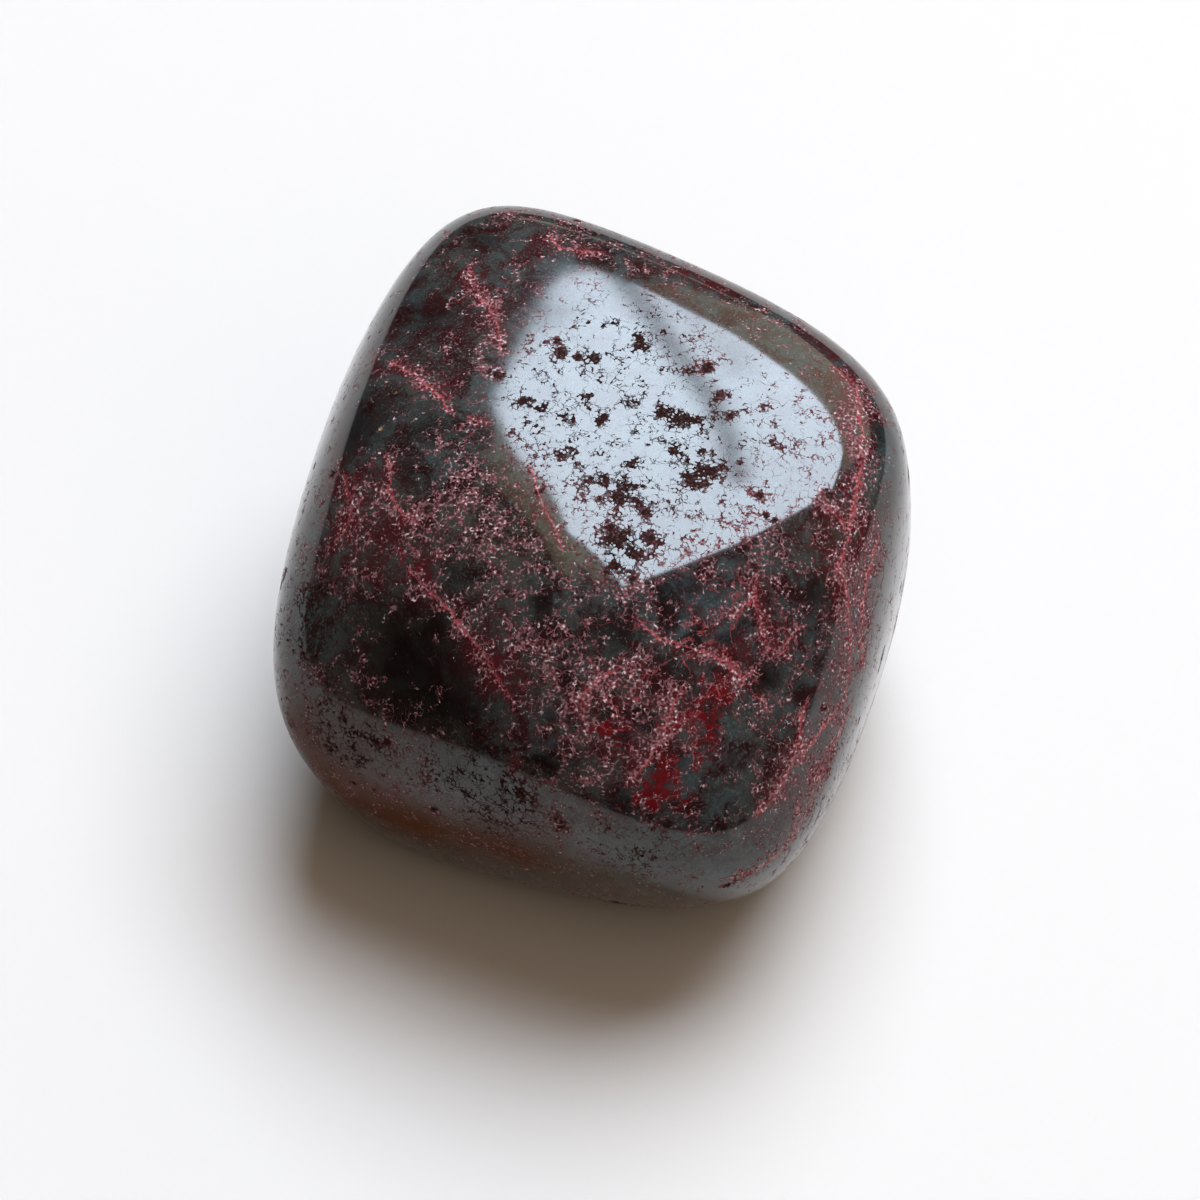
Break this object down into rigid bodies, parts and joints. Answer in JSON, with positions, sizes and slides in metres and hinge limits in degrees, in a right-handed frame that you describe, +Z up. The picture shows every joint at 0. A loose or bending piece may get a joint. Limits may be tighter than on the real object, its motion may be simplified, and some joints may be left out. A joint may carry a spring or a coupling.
{
  "type": "tumbled cinnabar stone",
  "caption": "Tumble-polished cinnabar stone: a rounded, roughly square pebble of dark rock veined and speckled with red, resting on a flat underside.",
  "frame": {"origin": "on the resting face, under the middle of the stone's box", "axes": "+Z up out of the resting face, +Y along the stone's longest side, +X to the right seen from -Y"},
  "size_m": [0.027, 0.0314, 0.0202],
  "materials": {
    "polished_cinnabar": "tumble-polished dark rock with red cinnabar grains and veins, glassy with small pits"
  },
  "bodies": {
    "root": {"stone": "polished_cinnabar"}
  },
  "joints": []
}
